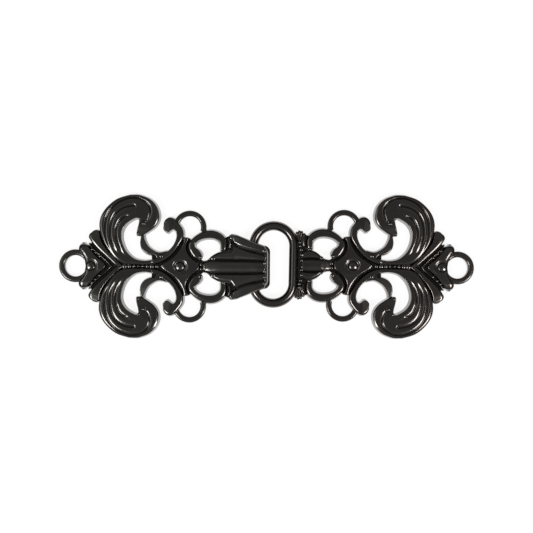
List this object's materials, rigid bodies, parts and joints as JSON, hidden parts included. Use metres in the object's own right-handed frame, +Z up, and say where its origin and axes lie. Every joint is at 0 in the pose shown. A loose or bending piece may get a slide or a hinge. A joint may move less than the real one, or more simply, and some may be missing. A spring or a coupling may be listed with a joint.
{
  "type": "filigree clasp",
  "caption": "Filigree cloak clasp in two pierced cast halves with acanthus scrolls, a hook, a D ring, end rings and sewing loops, shown fastened and lying flat.",
  "frame": {"origin": "middle of the clasp's box, on the surface that its flat back rests on", "axes": "+X along the clasp from the hook half to the eye half, +Y across it, +Z up from the flat back to the face"},
  "size_m": [0.0758, 0.0266, 0.0037],
  "materials": {
    "hook_metal": "polished black nickel plate on cast zinc",
    "eye_metal": "polished black nickel plate on cast zinc, slightly browner"
  },
  "bodies": {
    "root": {"hook_half": "hook_metal", "eye_half": "eye_metal"}
  },
  "joints": []
}
